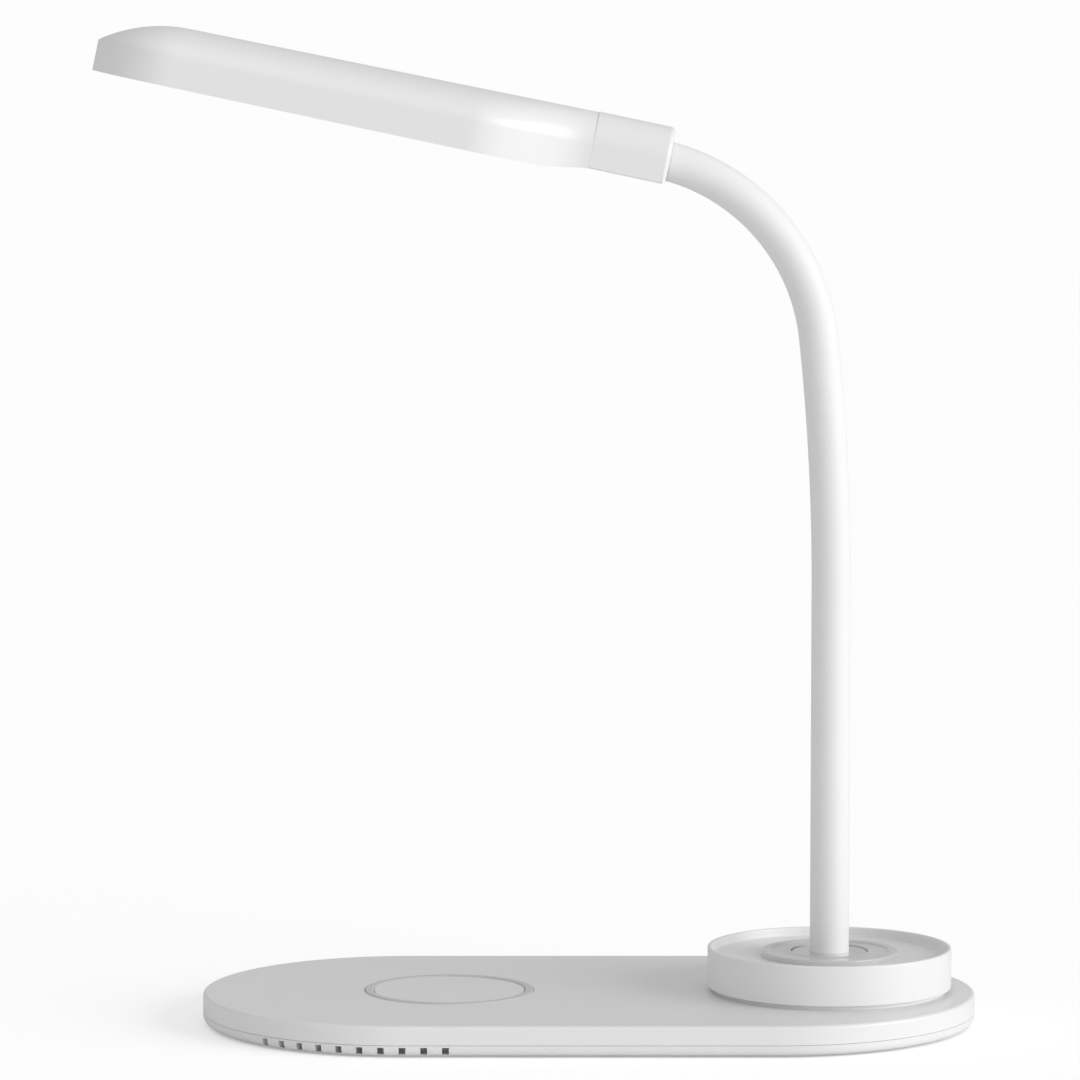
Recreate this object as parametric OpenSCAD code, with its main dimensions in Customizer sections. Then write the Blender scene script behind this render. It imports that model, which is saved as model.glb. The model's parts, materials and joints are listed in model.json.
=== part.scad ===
// Gooseneck desk lamp on a flat racetrack-shaped base with a charging pad.
// The origin is the middle of the base on the table. +Z is up, and +X runs towards the neck.

/* [Base] */
// Length of the base along X
base_len = 210; // [205:1:240]
// Depth of the base along Y, and the diameter of its round ends
base_depth = 110; // [106:1:125]
// Height of the lower cover's outer wall
lower_h = 2.9; // [2.8:0.1:6]
// Height of the upper cover's outer wall
upper_h = 5.1; // [4.4:0.1:8]
// Groove between the two covers
cover_gap = 0.1; // [0.1:0.05:0.4]
// Thickness of the upper cover's top
top_wall = 1.8; // [1.2:0.1:2.2]
// Thickness of the upper cover's side wall
side_wall = 2; // [1.4:0.1:3]
// Thickness of the lower cover's floor
floor_wall = 2; // [1.6:0.1:2.4]
// Thickness of the tongue that locates the upper cover
tongue_wall = 1.2; // [0.8:0.1:1.8]
// Height of the tongue above the lower cover's wall
tongue_h = 1.4; // [0.8:0.1:2]
// Radius of the lower edge
lower_edge_r = 2; // [0.8:0.1:2.4]
// Radius of the upper edge
upper_edge_r = 0.9; // [0.4:0.1:1.4]
// Clearance between pieces that slide together
slip = 0.15; // [0.1:0.05:0.25]

/* [Vents] */
// Number of slots on each side of the base
vent_count = 10; // [4:1:14]
// Spacing of the slots along the edge
vent_pitch = 5.7; // [4.5:0.1:8]
// Width of a slot
vent_w = 1.8; // [1:0.1:2.6]
// Height of a slot
vent_h = 1.9; // [1:0.1:2.2]
// Angle of the first slot from the base's -X tip
vent_start = 49; // [30:1:60]

/* [Pad and screws] */
// Thickness of the non-slip pad
pad_t = 1; // [0.8:0.1:1.4]
// How far the pad stands proud of the lower cover
pad_proud = 0.5; // [0.3:0.1:0.7]
// Distance from the base's edge to the pad's edge
pad_inset = 9; // [7:0.5:16]
// Distance of the cover screws from the base's centre line
screw_y = 42; // [34:1:44]
// Distance of the outer cover screws from the middle of the base
screw_x = 50; // [40:1:56]
// Diameter of a screw's thread
screw_d = 2.5; // [2:0.1:3]
// Diameter of a screw's head
screw_head_d = 4.6; // [4:0.1:5.4]
// Diameter of a screw boss
boss_d = 6.4; // [5.8:0.1:8]

/* [Charging pad] */
// Place of the charging coil along X
coil_x = -38; // [-50:1:-32]
// Outer diameter of the charging coil
coil_d = 49; // [40:1:52]
// Inner diameter of the charging coil
coil_hole_d = 20; // [12:1:26]
// Thickness of the coil
coil_t = 1.1; // [0.8:0.1:1.2]
// Thickness of the ferrite sheet under the coil
ferrite_t = 0.6; // [0.4:0.1:0.8]
// Thickness of the ballast plates
ballast_t = 2; // [1.2:0.1:2.2]
// Width of the ballast plates along Y
ballast_w = 68; // [60:1:70]
// Width of the thin rubber ring that keeps a device from sliding
grip_w = 2.4; // [1.5:0.1:4]
// Outer diameter of the rubber ring
grip_d = 46; // [36:1:50]
// Depth of the rubber ring's groove in the top
grip_depth = 0.7; // [0.4:0.1:0.9]
// How far the rubber ring stands proud
grip_proud = 0.25; // [0.1:0.05:0.4]

/* [Circuit board] */
// Length of the main board along X
board_len = 34; // [30:1:36]
// Width of the main board along Y
board_w = 60; // [54:1:66]
// Place of the main board's centre along X
board_x = 9; // [7:0.5:10]
// Thickness of every circuit board
board_t = 1; // [0.8:0.1:1.2]
// Height of the small posts that carry the main board
board_post_h = 0.7; // [0.5:0.1:0.9]
// Width of the power inlet's shell
inlet_w = 9; // [8.9:0.1:9.2]
// Height of the power inlet's shell
inlet_h = 3.2; // [3.1:0.1:3.3]
// Length of the power inlet's shell
inlet_len = 7.4; // [6.5:0.1:9]
// Wall of the power inlet's shell
inlet_wall = 0.3; // [0.2:0.05:0.4]

/* [Turret] */
// Distance from the neck's axis to the base's +X tip
neck_from_tip = 39.5; // [36:0.5:46]
// Diameter of the turret
turret_d = 66.3; // [60:0.5:70]
// Height of the turret's wall
turret_h = 10.8; // [10:0.1:15]
// Height of the plinth that lifts the turret off the base
plinth_h = 1.2; // [0.6:0.1:2]
// How far the plinth is set in from the turret's wall
plinth_inset = 1.8; // [1:0.1:3]
// Thickness of the turret's rim
rim_wall = 1.1; // [0.9:0.1:1.6]
// Depth of the dish in the turret's top
dish_depth = 2.5; // [1.8:0.1:3]
// Thickness of the dish's floor
dish_wall = 1.6; // [1.2:0.1:2]
// Diameter of the touch ring
touch_d = 37.2; // [32:0.2:40]
// Diameter of the touch ring's hole
touch_hole_d = 21; // [18:0.5:24]
// Height of the touch ring above the dish
touch_h = 1.5; // [0.8:0.1:1.8]
// Distance of the turret screws from the neck's axis
turret_screw_r = 24; // [22.6:0.2:26]

/* [Neck] */
// Outer diameter of the neck's sleeve
neck_d = 10.6; // [9.6:0.1:11.4]
// Outer diameter of the metal hose inside the sleeve
core_d = 6.6; // [5.6:0.1:7]
// Bore of the metal hose
core_bore_d = 3.4; // [2.4:0.1:4]
// Running gap at each bending point
bend_gap = 0.2; // [0.15:0.01:0.25]
// Length of the fixed stretch above the dish
neck_foot = 12.9; // [10:0.1:20]
// Length of each link of the upright stretch
link_len = 21.9; // [19:0.02:24]
// Radius of the neck's slow bend
slow_bend_r = 620; // [500:10:760]
// Angle of the slow bend
slow_bend_angle = 6.3; // [4:0.1:8]
// Radius of the neck's quick bend
quick_bend_r = 55; // [50:0.5:60]
// Angle of the quick bend
quick_bend_angle = 67.2; // [60:0.1:70]
// How far the sleeve reaches into the collar
neck_in_collar = 8; // [6:0.5:9]

/* [Head] */
// Length of the head from the collar's mouth to the tip
head_len = 156.3; // [140:0.1:180]
// Width of the head
head_w = 42; // [40:0.5:50]
// Height of the head at the collar
head_h = 17.4; // [16.8:0.1:20]
// How much lower the head is at the tip
head_taper = 1.5; // [0:0.1:2]
// Height of the head's upright side wall
head_side_h = 8; // [7:0.1:9]
// Slope of the head above the horizontal
head_tilt = 12; // [8:0.5:15]
// Length of the rounded nose, seen from above
nose_len = 21.3; // [18:0.1:26]
// Length over which the top falls towards the tip
nose_fall_len = 23.3; // [20:0.1:28]
// Drop of the top over the nose
nose_fall = 7.5; // [6:0.1:7.8]
// Thickness of the head's shell
head_wall = 1.6; // [1.2:0.1:1.9]
// Distance from the end of the neck's bend to the collar's mouth
collar_gap = 1.4; // [0.6:0.1:2]
// Width of the collar
collar_w = 18; // [16:0.1:20]
// Length of the collar
collar_len = 21; // [19:0.1:25]
// Length of the tongue that joins the collar to the shell
collar_tongue = 5; // [3:0.1:7]
// Rise of the underside at the collar
collar_rise = 2; // [1.4:0.1:2.2]
// Height of the neck's axis above the underside at the collar's mouth
neck_entry_h = 8.1; // [8.1:0.1:8.6]
// Where the head reaches its full width, from the collar's mouth
shoulder_end = 54; // [48:1:64]
// Where the window of the underside starts, from the collar's mouth
window_start = 40; // [38:1:46]
// Distance from the window to the tip
window_end = 12; // [10:0.5:16]
// Width of the window
window_w = 27; // [22:0.5:28]
// Thickness of the lower frame
frame_t = 1.6; // [1.2:0.1:2]
// Width of the ledge that carries the diffuser
ledge = 2.6; // [2:0.1:3]
// Depth of the diffuser's face below the frame's face
diffuser_recess = 0.5; // [0.2:0.1:0.8]
// Height of the heat spreader above the underside
spreader_z = 9.4; // [9:0.1:9.6]
// Thickness of the heat spreader
spreader_t = 1; // [0.6:0.1:1.1]
// Width of the heat spreader
spreader_w = 30; // [28.6:0.2:31]
// Width of the lamp board
lamp_board_w = 20; // [18:0.5:21]
// Number of lamps in each row
led_count = 14; // [8:1:16]
// Distance between the two rows of lamps
led_rows = 9; // [7:0.5:12]

/* [Hidden] */
$fn = 96;

// How far a cutting shape runs past the face that it cuts
over = 1;
// Flat seats of separate pieces stay this far apart
seat = 0.05;

// Heights of the base's faces above the table
base_r = base_depth / 2;
spine = base_len - base_depth;
lower_z = pad_proud;
split_z = lower_z + lower_h;
upper_z = split_z + cover_gap;
top_z = upper_z + upper_h;
ceiling_z = top_z - top_wall;
floor_z = lower_z + floor_wall;
tongue_out = side_wall + slip;
tongue_in = tongue_out + tongue_wall;

// Places of the six cover screws
board_boss_gap = 1;
middle_screw_x = board_x - board_len / 2 - boss_d / 2 - board_boss_gap;
cover_screw_places = [for (x = [-screw_x, middle_screw_x, screw_x], y = [-screw_y, screw_y]) [x, y]];
screw_head_h = 1.1;
screw_tip_gap = 0.6;
boss_foot_gap = 0.1;

// The charging stack, from the floor up
ballast_z = floor_z;
ferrite_z = ballast_z + ballast_t;
coil_z = ferrite_z + ferrite_t;
ferrite_margin = 1.5;
ballast_gap = 3;

// The main board
board_z = floor_z + board_post_h;
inlet_z_shift = 1;
inlet_z = board_z + board_t / 2 + inlet_z_shift;
inlet_back = 0.4;
inlet_tongue_inset = 3;
post_d = 4;
board_corner = 5;
board_back_gap = 0.5;
board_y = base_r - tongue_in - board_w / 2 - board_back_gap;

// The turret and what it carries
neck_x = base_len / 2 - neck_from_tip;
turret_r = turret_d / 2;
turret_z = top_z + plinth_h;
turret_top = turret_z + turret_h;
dish_z = turret_top - dish_depth;
dish_under = dish_z - dish_wall;
lower_wall = 2;
rim_edge_r = 0.45;
ferrule_out_r = touch_hole_d / 2 - slip;
ferrule_proud = 1.2;
anchor_thread_r = 4;
anchor_flange_r = 8.5;
anchor_flange_t = 1.4;
anchor_wall = 1.4;
anchor_socket = 5;
washer_t = 0.6;
washer_r = 8;
nut_t = 2;
nut_flats = 12;
neck_hole_r = 6;
touch_board_gap = 0.1;
touch_board_in_r = 12;
turret_boss_d = 5.4;
turret_screw_bite = 4;
// Angles of the four turret screws
turret_screw_angles = [45, 135, 225, 315];

ball_step = 0.15;
skirt = 0.6;
socket_lip = 1.3;
core_step = 0.2;

// The neck: each station is [x from the neck's axis, z, lean from upright], one for each
// bending point, and the last is the collar's mouth
neck_r = neck_d / 2;
core_r = core_d / 2;
core_bore_r = core_bore_d / 2;
upright_links = 4;
slow_links = 3;
quick_links = 3;
slow_step = slow_bend_angle / slow_links;
quick_step = quick_bend_angle / quick_links;
neck_end_angle = slow_bend_angle + quick_bend_angle;
ball_core = 3;
ball_r = neck_r - ball_step;
ball_bore_r = core_r + 2 * ball_step;

function bend(from, r, turn) = [
    from[0] - r * (cos(from[2]) - cos(from[2] + turn)),
    from[1] + r * (sin(from[2] + turn) - sin(from[2])),
    from[2] + turn
];
function upright(i) = [0, dish_z + neck_foot + i * link_len, 0];
function slow(i) = i == 0 ? upright(upright_links) : bend(slow(i - 1), slow_bend_r, slow_step);
function quick(i) = i == 0 ? slow(slow_links) : bend(quick(i - 1), quick_bend_r, quick_step);
stations = concat(
    [[0, dish_z, 0]],
    [for (i = [0 : upright_links]) upright(i)],
    [for (i = [1 : slow_links]) slow(i)],
    [for (i = [1 : quick_links]) quick(i)]
);
last_link = upright_links + slow_links + quick_links;
mouth = stations[last_link + 1];

// The head's own frame: u runs from the collar's mouth to the tip, v up from the underside
head_x = neck_x + mouth[0] - neck_entry_h * sin(head_tilt) - collar_gap * cos(head_tilt);
head_z = mouth[1] - neck_entry_h * cos(head_tilt) + collar_gap * sin(head_tilt);
full_half_w = head_w / 2;
collar_half_w = collar_w / 2;
frame_margin = 2;
frame_start = window_start - ledge - frame_margin;
shoulder_start = collar_len;
rise_lead = 2;
rise_start = collar_len - rise_lead;
rise_end = frame_start;
nose_start = head_len - nose_len;
fall_start = head_len - nose_fall_len;
fall_r = (nose_fall_len * nose_fall_len + nose_fall * nose_fall) / (2 * nose_fall);
dome_steps = 18;
tip_half_w = 2;
cavity_run = 4;
cavity_end = fall_start + cavity_run;
nose_cavity_h = 6;
window_len = head_len - window_end - window_start;
window_mid = window_start + window_len / 2;
lamp_board_z = spreader_z - board_t;
led_t = 0.9;
led_w = 2.8;
led_len = 3.5;
board_end = 4;
spreader_margin = 1.5;
spreader_start = window_start + spreader_margin;
spreader_len = cavity_end - spreader_margin - spreader_start;
head_boss_y = 12.4;
head_boss_d = 4.6;
head_boss_inset = 8;
head_screw_d = 2;
head_screw_head_d = 3.6;
head_screw_head_h = 1;
head_screw_bite = 0.4;
head_boss_top = 6;
head_boss_h = 3;
bush_t = 0.35;
bush_depth = 2.4;
sleeve_end = collar_gap + neck_in_collar;
clamp_gap = 0.6;
clamp_start = sleeve_end + clamp_gap;
clamp_len = 7;
clamp_w = 10.4;
clamp_h = 9;
grub_d = 3;
grub_len = clamp_w / 2 - core_r + core_step - seat;

function smooth(t) = let (c = min(1, max(0, t))) c * c * (3 - 2 * c);
function ramp(u, low, high) = smooth((u - low) / (high - low));
function half_w(u) =
    u > nose_start
    ? max(tip_half_w, full_half_w * sqrt(max(0, 1 - pow((u - nose_start) / nose_len, 2))))
    : collar_half_w + (full_half_w - collar_half_w) * ramp(u, shoulder_start, shoulder_end);
function fall(u) = u > fall_start ? fall_r - sqrt(fall_r * fall_r - pow(u - fall_start, 2)) : 0;
function top_v(u) = head_h - head_taper * u / head_len - fall(u);
function under_v(u) = collar_rise * (1 - ramp(u, rise_start, rise_end));
// One closed outline of the head at u, from the height low upwards
function outline(u, low) =
    let (w = half_w(u), rise = max(0.1, top_v(u) - head_side_h))
    concat(
        [[u, w, low]],
        [for (i = [0 : dome_steps])
            let (a = 180 * i / dome_steps) [u, w * cos(a), head_side_h + rise * sin(a)]],
        [[u, -w, low]]
    );
// Even steps from low to high, and steps that crowd together towards high
function even(low, high, n) = [for (i = [0 : n]) low + (high - low) * i / n];
function crowd(low, high, n) = [for (i = [0 : n]) low + (high - low) * sin(90 * i / n)];

// --- Shapes that repeat ---

module racetrack_plan(inset) {
    square([spine, 2 * (base_r - inset)], center = true);
    for (s = [-1, 1])
        translate([s * spine / 2, 0])
            circle(base_r - inset);
}

// Sweeps a profile round the base, drawn with x from the spine outwards and y up
module racetrack() {
    for (s = [-1, 1])
        translate([s * spine / 2, 0, 0])
            rotate([0, 0, -s * 90])
                rotate_extrude(angle = 180)
                    children();
    for (turn = [0, 180])
        rotate([0, 0, turn])
            rotate([90, 0, 90])
                linear_extrude(height = spine, center = true)
                    children();
}

module rounded_below(r, h, edge) {
    square([r - edge, h]);
    translate([0, edge])
        square([r, h - edge]);
    intersection() {
        square([r, h]);
        translate([r - edge, edge])
            circle(edge);
    }
}

module rounded_above(r, h, edge) {
    square([r - edge, h]);
    square([r, h - edge]);
    translate([r - edge, h - edge])
        circle(edge);
}

module slot_plan(len, w) {
    square([len - w, w], center = true);
    for (s = [-1, 1])
        translate([s * (len - w) / 2, 0])
            circle(w / 2);
}

module ring(out_r, in_r, h) {
    difference() {
        cylinder(r = out_r, h = h);
        translate([0, 0, -over])
            cylinder(r = in_r, h = h + 2 * over);
    }
}

// A screw that stands on its head, with a countersunk or a flat head
module screw(d, head_d, head_h, len, sunk) {
    cylinder(r1 = head_d / 2, r2 = sunk ? d / 2 : head_d / 2, h = head_h);
    cylinder(d = d, h = len);
    translate([0, 0, len])
        cylinder(r1 = d / 2, r2 = d / 4, h = d / 2);
}

module at_neck() {
    translate([neck_x, 0, 0])
        children();
}

module at_station(i) {
    translate([neck_x + stations[i][0], 0, stations[i][1]])
        rotate([0, -stations[i][2], 0])
            children();
}

module at_head() {
    translate([head_x, 0, head_z])
        rotate([0, 0, 180])
            rotate([0, -head_tilt, 0])
                children();
}

// Skins a list of outlines that have the same number of points
module loft(outlines) {
    n = len(outlines[0]);
    last = len(outlines) - 1;
    polyhedron(
        points = [for (o = outlines, p = o) p],
        faces = concat(
            [[for (j = [n - 1 : -1 : 0]) j]],
            [[for (j = [0 : n - 1]) last * n + j]],
            [for (i = [0 : last - 1], j = [0 : n - 1])
                [i * n + j, i * n + (j + 1) % n, (i + 1) * n + (j + 1) % n]],
            [for (i = [0 : last - 1], j = [0 : n - 1])
                [i * n + j, (i + 1) * n + (j + 1) % n, (i + 1) * n + j]]
        )
    );
}

// --- Base ---

module at_vents() {
    arc_len = PI * base_r * (90 - vent_start) / 180;
    for (side = [-1, 1], i = [0 : vent_count - 1]) {
        run = i * vent_pitch;
        turn = run < arc_len ? vent_start + run * 180 / (PI * base_r) : 90;
        along = max(0, run - arc_len);
        mirror([0, side > 0 ? 1 : 0, 0])
            translate([along - spine / 2, 0, 0])
                rotate([0, 0, 180 + turn])
                    translate([base_r, 0, 0])
                        children();
    }
}

module inlet_cut(grow) {
    translate([board_x, base_r - inlet_back - inlet_len, inlet_z])
        rotate([-90, 0, 0])
            linear_extrude(height = inlet_len + over)
                slot_plan(inlet_w + 2 * grow, inlet_h + 2 * grow);
}

module base_top_cover() {
    color("whitesmoke")
    difference() {
        union() {
            difference() {
                translate([0, 0, upper_z])
                    racetrack()
                        rounded_above(base_r, upper_h, upper_edge_r);
                translate([0, 0, upper_z - over])
                    linear_extrude(height = upper_h - top_wall + over)
                        racetrack_plan(side_wall);
            }
            at_neck()
                translate([0, 0, ceiling_z + top_wall / 2])
                    cylinder(r = turret_r - plinth_inset, h = plinth_h + top_wall / 2);
            for (p = cover_screw_places)
                translate([p[0], p[1], floor_z + boss_foot_gap])
                    cylinder(d = boss_d, h = ceiling_z - floor_z - boss_foot_gap + seat);
        }
        for (p = cover_screw_places)
            translate([p[0], p[1], floor_z - over])
                cylinder(d = screw_d, h = ceiling_z - floor_z + over);
        at_neck() {
            translate([0, 0, ceiling_z - over])
                cylinder(r = anchor_thread_r + slip, h = top_wall + plinth_h + 2 * over);
            for (a = turret_screw_angles)
                rotate([0, 0, a])
                    translate([turret_screw_r, 0, ceiling_z - over])
                        cylinder(d = screw_d + 2 * slip, h = top_wall + plinth_h + 2 * over);
        }
        translate([coil_x, 0, top_z - grip_depth])
            ring(grip_d / 2 + slip, grip_d / 2 - grip_w - slip, grip_depth + over);
        inlet_cut(slip);
    }
}

module base_bottom_cover() {
    color("white")
    difference() {
        union() {
            difference() {
                translate([0, 0, lower_z])
                    racetrack()
                        rounded_below(base_r, lower_h, lower_edge_r);
                translate([0, 0, floor_z])
                    linear_extrude(height = lower_h)
                        racetrack_plan(tongue_in);
            }
            translate([0, 0, split_z - seat])
                linear_extrude(height = tongue_h + seat)
                    difference() {
                        racetrack_plan(tongue_out);
                        racetrack_plan(tongue_in);
                    }
            for (x = [-1, 1], y = [-1, 1])
                translate([
                    board_x + x * (board_len / 2 - board_corner),
                    board_y + y * (board_w / 2 - board_corner),
                    floor_z - seat
                ])
                    cylinder(d = post_d, h = board_post_h + seat);
        }
        translate([0, 0, lower_z - over])
            linear_extrude(height = pad_t - pad_proud + over)
                racetrack_plan(pad_inset - slip);
        for (p = cover_screw_places)
            translate([p[0], p[1], pad_t]) {
                translate([0, 0, -over])
                    cylinder(d = screw_d + 2 * slip, h = floor_wall + 2 * over);
                cylinder(
                    r1 = screw_head_d / 2 + slip,
                    r2 = screw_d / 2 + slip,
                    h = screw_head_h
                );
            }
        at_vents()
            translate([-tongue_in - over, -vent_w / 2, lower_z + lower_edge_r / 4])
                cube([tongue_in + 2 * over, vent_w, vent_h]);
        inlet_cut(slip);
    }
}

module non_slip_pad() {
    color("lightgray")
    linear_extrude(height = pad_t - seat)
        racetrack_plan(pad_inset);
}

module cover_screws() {
    color("silver")
    for (p = cover_screw_places)
        translate([p[0], p[1], pad_t])
            screw(
                screw_d - 2 * seat,
                screw_head_d,
                screw_head_h,
                ceiling_z - pad_t - screw_tip_gap - screw_d / 2,
                true
            );
}

module ballast_plan() {
    intersection() {
        racetrack_plan(tongue_in + ballast_gap);
        square([base_len, ballast_w], center = true);
    }
}

module ballast_plate_left() {
    color("darkgray")
    translate([0, 0, ballast_z])
        linear_extrude(height = ballast_t)
            intersection() {
                ballast_plan();
                translate([-base_len, -base_r])
                    square([base_len + board_x - board_len / 2 - ballast_gap, base_depth]);
            }
}

module ballast_plate_right() {
    color("darkgray")
    translate([0, 0, ballast_z])
        difference() {
            linear_extrude(height = ballast_t)
                intersection() {
                    ballast_plan();
                    translate([board_x + board_len / 2 + ballast_gap, -base_r])
                        square([base_len, base_depth]);
                }
            at_neck() {
                translate([0, 0, -over])
                    cylinder(r = nut_flats / sqrt(3) + ballast_gap, h = ballast_t + 2 * over);
                for (a = turret_screw_angles)
                    rotate([0, 0, a])
                        translate([turret_screw_r, 0, -over])
                            cylinder(d = screw_head_d + 2 * slip, h = ballast_t + 2 * over);
            }
        }
}

module ferrite_sheet() {
    color("dimgray")
    translate([coil_x, 0, ferrite_z])
        cylinder(d = coil_d + 2 * ferrite_margin, h = ferrite_t);
}

module charging_coil() {
    color("chocolate")
    translate([coil_x, 0, coil_z])
        ring(coil_d / 2, coil_hole_d / 2, coil_t);
}

module grip_ring() {
    color("lightgray")
    translate([coil_x, 0, top_z - grip_depth])
        ring(grip_d / 2, grip_d / 2 - grip_w, grip_depth + grip_proud);
}

module main_board() {
    color("darkgreen")
    difference() {
        translate([board_x, board_y, board_z + board_t / 2])
            cube([board_len, board_w, board_t], center = true);
        inlet_cut(slip);
    }
}

// Chips and coils on the board: [x, y, length, width, height] from the board's centre
board_blocks = [
    [-8, -18, 7, 7, 1.4],
    [4, -18, 5, 6, 1],
    [-9, -4, 8, 8, 1.9],
    [6, -3, 4, 4, 0.8],
    [6, 7, 3, 5, 1.2],
    [-8, 9, 3.2, 2.4, 0.9],
    [11, -11, 3.2, 1.6, 0.9],
    [11, 1, 3.2, 1.6, 0.9],
    [-3, -25, 6, 3, 1.2]
];

module main_board_parts() {
    color("dimgray")
    for (b = board_blocks)
        translate([board_x + b[0] - b[2] / 2, board_y + b[1] - b[3] / 2, board_z + board_t])
            cube([b[2], b[3], b[4]]);
}

module power_inlet() {
    color("silver")
    difference() {
        translate([board_x, base_r - inlet_back, inlet_z])
            rotate([90, 0, 0])
                linear_extrude(height = inlet_len)
                    slot_plan(inlet_w, inlet_h);
        translate([board_x, base_r - inlet_back + over, inlet_z])
            rotate([90, 0, 0])
                linear_extrude(height = inlet_len - inlet_wall + over)
                    difference() {
                        slot_plan(inlet_w - 2 * inlet_wall, inlet_h - 2 * inlet_wall);
                        square([inlet_w - inlet_tongue_inset, inlet_h / 4], center = true);
                    }
    }
}

// --- Turret ---

module turret_shell() {
    color("whitesmoke")
    at_neck()
        difference() {
            union() {
                difference() {
                    translate([0, 0, turret_z])
                        rotate_extrude()
                            rounded_above(turret_r, turret_h, rim_edge_r);
                    translate([0, 0, dish_z])
                        cylinder(r = turret_r - rim_wall, h = dish_depth + over);
                    translate([0, 0, turret_z - over])
                        cylinder(r = turret_r - lower_wall, h = dish_under - turret_z + over);
                }
                for (a = turret_screw_angles)
                    rotate([0, 0, a])
                        translate([turret_screw_r, 0, turret_z])
                            cylinder(d = turret_boss_d, h = dish_under - turret_z + seat);
            }
            for (a = turret_screw_angles)
                rotate([0, 0, a])
                    translate([turret_screw_r, 0, turret_z - over])
                        cylinder(d = screw_d, h = dish_under - turret_z + over);
            translate([0, 0, turret_z])
                cylinder(r = neck_hole_r + slip, h = turret_h);
        }
}

module touch_ring() {
    color("gainsboro")
    at_neck()
        translate([0, 0, dish_z])
            difference() {
                rotate_extrude()
                    rounded_above(touch_d / 2, touch_h, rim_edge_r);
                translate([0, 0, -over])
                    cylinder(d = touch_hole_d, h = touch_h + 2 * over);
            }
}

module touch_board() {
    color("darkgreen")
    at_neck()
        translate([0, 0, dish_under - touch_board_gap - board_t])
            ring(turret_screw_r - turret_boss_d / 2 - slip, touch_board_in_r, board_t);
}

module turret_screws() {
    color("silver")
    at_neck()
        for (a = turret_screw_angles)
            rotate([0, 0, a])
                translate([turret_screw_r, 0, ceiling_z - screw_head_h])
                    screw(
                        screw_d - 2 * seat,
                        screw_head_d,
                        screw_head_h,
                        screw_head_h + top_wall + plinth_h + turret_screw_bite,
                        false
                    );
}

module neck_ferrule() {
    color("silver")
    at_neck()
        difference() {
            union() {
                translate([0, 0, dish_z])
                    rotate_extrude()
                        rounded_above(ferrule_out_r, ferrule_proud, ferrule_proud / 2);
                translate([0, 0, dish_under])
                    cylinder(r = neck_hole_r, h = dish_wall + seat);
            }
            translate([0, 0, dish_under - over])
                cylinder(r = neck_r + seat, h = dish_wall + ferrule_proud + 2 * over);
        }
}

module neck_anchor() {
    color("silver")
    at_neck()
        difference() {
            union() {
                translate([0, 0, turret_z])
                    cylinder(r = anchor_flange_r, h = anchor_flange_t);
                translate([0, 0, ceiling_z - washer_t - nut_t])
                    cylinder(r = anchor_thread_r, h = turret_z - ceiling_z + washer_t + nut_t);
                translate([0, 0, turret_z])
                    cylinder(r = core_r + anchor_wall, h = dish_z - turret_z);
            }
            translate([0, 0, floor_z])
                cylinder(d = core_bore_d, h = turret_top);
            translate([0, 0, dish_z - anchor_socket])
                cylinder(r = core_r + seat, h = anchor_socket + over);
        }
}

module neck_washer() {
    color("silver")
    at_neck()
        translate([0, 0, ceiling_z - washer_t])
            ring(washer_r, anchor_thread_r + seat, washer_t);
}

module neck_nut() {
    color("silver")
    at_neck()
        translate([0, 0, ceiling_z - washer_t - nut_t])
            difference() {
                cylinder(r = nut_flats / sqrt(3), h = nut_t, $fn = 6);
                translate([0, 0, -over])
                    cylinder(r = anchor_thread_r + seat, h = nut_t + 2 * over);
            }
}

// --- Neck ---

// The round tube of one link, from its own bending point to the next. Only link 0 starts lower.
module link_tube(i, out_r, in_r, low) {
    at_station(i)
        if (i <= upright_links)
            tube(out_r, in_r, low, stations[i + 1][1] - stations[i][1]);
        else if (i <= upright_links + slow_links)
            bent_tube(out_r, in_r, slow_bend_r, slow_step);
        else
            bent_tube(out_r, in_r, quick_bend_r, quick_step);
}

module tube(out_r, in_r, low, high) {
    rotate_extrude()
        translate([in_r, low])
            square([out_r - in_r, high - low]);
}

module bent_tube(out_r, in_r, bend_r, turn) {
    translate([-bend_r, 0, 0])
        rotate([90, 0, 0])
            rotate_extrude(angle = turn)
                translate([bend_r, 0])
                    difference() {
                        circle(out_r);
                        circle(in_r);
                    }
}

// The ball at the upper end of a sleeve, open below for the hose. Its skirt is sunk in the
// sleeve's wall.
module hollow_ball() {
    rotate_extrude()
        difference() {
            union() {
                intersection() {
                    circle(ball_r);
                    square(ball_r);
                }
                translate([0, -skirt])
                    square([ball_r, skirt]);
            }
            translate([-over, -skirt - over])
                square([ball_bore_r + over, ball_core + skirt + over]);
        }
}

// The hollow at the lower end of a link, in which the ball below turns
module socket(i) {
    at_station(i) {
        sphere(ball_r + bend_gap);
        translate([0, 0, -over])
            cylinder(r = neck_r + over, h = over + socket_lip);
    }
}

module neck_sleeve(i) {
    color("white")
    difference() {
        union() {
            link_tube(i, neck_r, core_r + seat, 0);
            at_station(i + 1)
                if (i == last_link)
                    tube(ball_r, ball_bore_r, -skirt, sleeve_end);
                else
                    hollow_ball();
        }
        if (i > 0)
            socket(i);
    }
}

module neck_core(i) {
    color("silver")
    difference() {
        union() {
            link_tube(i, core_r, core_bore_r, i == 0 ? -anchor_socket : 0);
            at_station(i + 1)
                tube(
                    core_r - core_step,
                    core_bore_r + core_step,
                    -skirt,
                    i == last_link ? clamp_start + clamp_len : ball_core - seat
                );
        }
        if (i > 0)
            socket(i);
    }
}

// --- Head ---

// Extrudes a profile along the head, drawn with x across the head and y up
module along_head(start, end) {
    translate([start, 0, 0])
        rotate([90, 0, 90])
            linear_extrude(height = end - start)
                children();
}

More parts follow.
